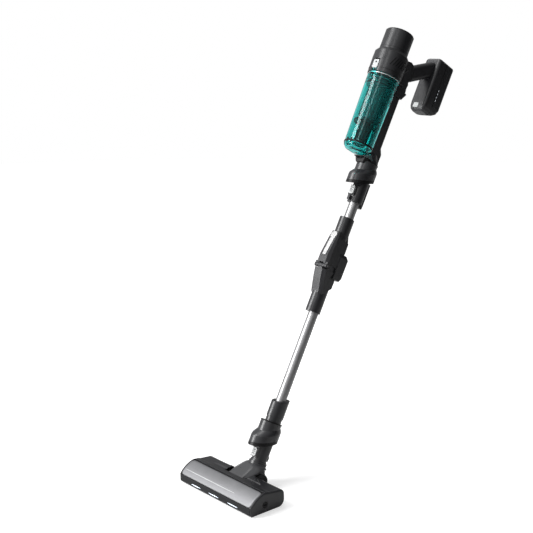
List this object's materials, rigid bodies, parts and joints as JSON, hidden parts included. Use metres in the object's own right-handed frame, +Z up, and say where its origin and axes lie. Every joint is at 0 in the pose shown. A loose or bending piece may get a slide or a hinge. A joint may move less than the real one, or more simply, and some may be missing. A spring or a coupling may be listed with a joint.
{
  "type": "cordless stick vacuum",
  "caption": "Cordless stick vacuum with a folding wand, motorised roller head, clear dust bin and slide-off battery behind a sloping grip.",
  "frame": {"origin": "centre of the floor head's sole, on the floor", "axes": "+X to the user's right, -Y forward, +Z up; the wand leans back 28 degrees towards +Y"},
  "size_m": [0.266, 0.797, 1.0809],
  "materials": {
    "charcoal_plastic": "satin moulded charcoal plastic with a fine grain",
    "grey_plastic": "satin mid-grey moulded plastic",
    "black_plastic": "dark moulded plastic",
    "gloss_black": "glossy dark smoked plastic",
    "silver_cover": "brushed metallic grey paint",
    "aluminium": "satin drawn aluminium",
    "steel": "turned steel",
    "button_white": "pale satin plastic",
    "button_silver": "satin silver paint",
    "teal_clear": "clear tinted moulded plastic",
    "shroud_grey": "satin grey moulded plastic",
    "lamp": "diffused white lamp lens",
    "board": "green circuit board",
    "rubber": "soft black rubber",
    "bristle": "stiff nylon bristle",
    "filter_media": "pleated filter felt",
    "cell_wrap": "shrink-wrapped cell"
  },
  "bodies": {
    "main_unit": {"upper_socket": "grey_plastic", "upper_socket_ring": "black_plastic", "air_duct": "charcoal_plastic", "bin_rest": "black_plastic", "motor_housing": "charcoal_plastic", "motor_cap": "charcoal_plastic", "exhaust_filter": "filter_media", "suction_motor": "steel", "handle_shell_left": "charcoal_plastic", "handle_shell_right": "charcoal_plastic", "battery_dock": "charcoal_plastic", "circuit_board": "board", "handle_screws": "steel"},
    "dust_bin": {"bin_cup": "teal_clear", "bin_door": "teal_clear", "cyclone_shroud": "shroud_grey", "cyclone_cone": "shroud_grey"},
    "bin_latch_body": {"bin_latch": "button_white"},
    "impeller": {"fan_impeller": "aluminium"},
    "trigger_body": {"trigger": "black_plastic"},
    "battery": {"battery_shell": "charcoal_plastic", "battery_cells": "cell_wrap"},
    "battery_release": {"battery_button": "button_white"},
    "upper_wand": {"upper_plug": "charcoal_plastic", "upper_tube": "aluminium", "fold_upper_housing": "charcoal_plastic", "fold_pin": "steel", "fold_hose": "rubber"},
    "wand_release": {"wand_button": "button_white"},
    "fold_release": {"fold_button": "button_silver"},
    "lower_wand": {"fold_lower_housing": "charcoal_plastic", "lower_tube": "aluminium", "lower_sleeve": "charcoal_plastic", "lower_socket": "grey_plastic", "lower_socket_ring": "black_plastic"},
    "neck": {"neck_shell": "charcoal_plastic", "neck_seal": "rubber"},
    "neck_release": {"neck_button": "button_white"},
    "yoke": {"yoke_body": "charcoal_plastic", "yoke_hood": "grey_plastic"},
    "floor_head": {"head_base": "charcoal_plastic", "head_rear_cover": "charcoal_plastic", "head_roller_cover": "silver_cover", "head_window": "gloss_black", "headlights": "lamp", "headlight_board": "board", "head_end_cap_left": "charcoal_plastic", "head_end_cap_right": "charcoal_plastic", "brush_bearings": "steel", "drive_belt": "rubber", "brush_motor": "steel", "head_screws": "steel", "pivot_pins": "steel"},
    "brush": {"brush_core": "black_plastic", "brush_bristles": "bristle", "brush_pulley": "black_plastic"},
    "motor_rotor": {"motor_pulley": "steel"},
    "wheel_right": {"rear_wheel_right": "rubber"},
    "wheel_left": {"rear_wheel_left": "rubber"},
    "brush_lock_body": {"brush_lock": "black_plastic"}
  },
  "joints": [
    {"name": "bin_slide", "type": "slide", "parent": "main_unit", "child": "dust_bin", "axis": [0, -0.8829, 0.4695], "range_m": [0, 0.095]},
    {"name": "bin_latch_push", "type": "slide", "parent": "main_unit", "child": "bin_latch_body", "axis": [0, 0.4695, 0.8829], "range_m": [0, 0.003], "stiffness_N_per_m": 600},
    {"name": "impeller_spin", "type": "hinge", "parent": "main_unit", "child": "impeller", "pos_m": [0, 0.51402, 0.97725], "axis": [0, 0.4695, 0.8829], "continuous": true},
    {"name": "trigger_press", "type": "slide", "parent": "main_unit", "child": "trigger_body", "axis": [0, -0.8829, 0.4695], "range_m": [0, 0.0045], "stiffness_N_per_m": 900},
    {"name": "battery_slide", "type": "slide", "parent": "main_unit", "child": "battery", "axis": [0, -0.4695, -0.8829], "range_m": [0, 0.11]},
    {"name": "battery_button_press", "type": "slide", "parent": "main_unit", "child": "battery_release", "axis": [0, 0.8829, -0.4695], "range_m": [0, 0.0015], "stiffness_N_per_m": 1500},
    {"name": "wand_release_slide", "type": "slide", "parent": "main_unit", "child": "upper_wand", "axis": [0, -0.4695, -0.8829], "range_m": [0, 0.05]},
    {"name": "wand_button_press", "type": "slide", "parent": "upper_wand", "child": "wand_release", "axis": [0, 0.8829, -0.4695], "range_m": [0, 0.0004], "stiffness_N_per_m": 1500},
    {"name": "fold_button_press", "type": "slide", "parent": "upper_wand", "child": "fold_release", "axis": [0, 0.7865, -0.6175], "range_m": [0, 0.003], "stiffness_N_per_m": 900},
    {"name": "fold_hinge", "type": "hinge", "parent": "upper_wand", "child": "lower_wand", "pos_m": [0, 0.29613, 0.5121], "axis": [-1, 0, 0], "range_deg": [0, 85], "deforming": ["fold_hose"]},
    {"name": "head_release_slide", "type": "slide", "parent": "lower_wand", "child": "neck", "axis": [0, -0.4695, -0.8829], "range_m": [0, 0.05]},
    {"name": "neck_button_press", "type": "slide", "parent": "neck", "child": "neck_release", "axis": [0, 0.8829, -0.4695], "range_m": [0, 0.0004], "stiffness_N_per_m": 1500},
    {"name": "head_swivel", "type": "hinge", "parent": "neck", "child": "yoke", "pos_m": [0, 0.09018, 0.05872], "axis": [0, 0.4695, 0.8829], "range_deg": [-80, 80]},
    {"name": "head_pitch", "type": "hinge", "parent": "yoke", "child": "floor_head", "pos_m": [0, 0.0714, 0.0234], "axis": [1, 0, 0], "range_deg": [-23, 52]},
    {"name": "brush_spin", "type": "hinge", "parent": "floor_head", "child": "brush", "pos_m": [0, -0.02, 0.0195], "axis": [-1, 0, 0], "continuous": true},
    {"name": "motor_spin", "type": "hinge", "parent": "floor_head", "child": "motor_rotor", "pos_m": [0, 0.024, 0.022], "axis": [-1, 0, 0], "continuous": true},
    {"name": "wheel_right_spin", "type": "hinge", "parent": "floor_head", "child": "wheel_right", "pos_m": [0, 0.068, 0.0204], "axis": [1, 0, 0], "continuous": true},
    {"name": "wheel_left_spin", "type": "hinge", "parent": "floor_head", "child": "wheel_left", "pos_m": [0, 0.068, 0.0204], "axis": [1, 0, 0], "continuous": true},
    {"name": "brush_lock_turn", "type": "hinge", "parent": "floor_head", "child": "brush_lock_body", "pos_m": [0.1315, -0.005, 0.02], "axis": [1, 0, 0], "range_deg": [0, 90]}
  ],
  "couplings": [
    {"joint": "motor_spin", "follows": "brush_spin", "ratio": 2}
  ]
}
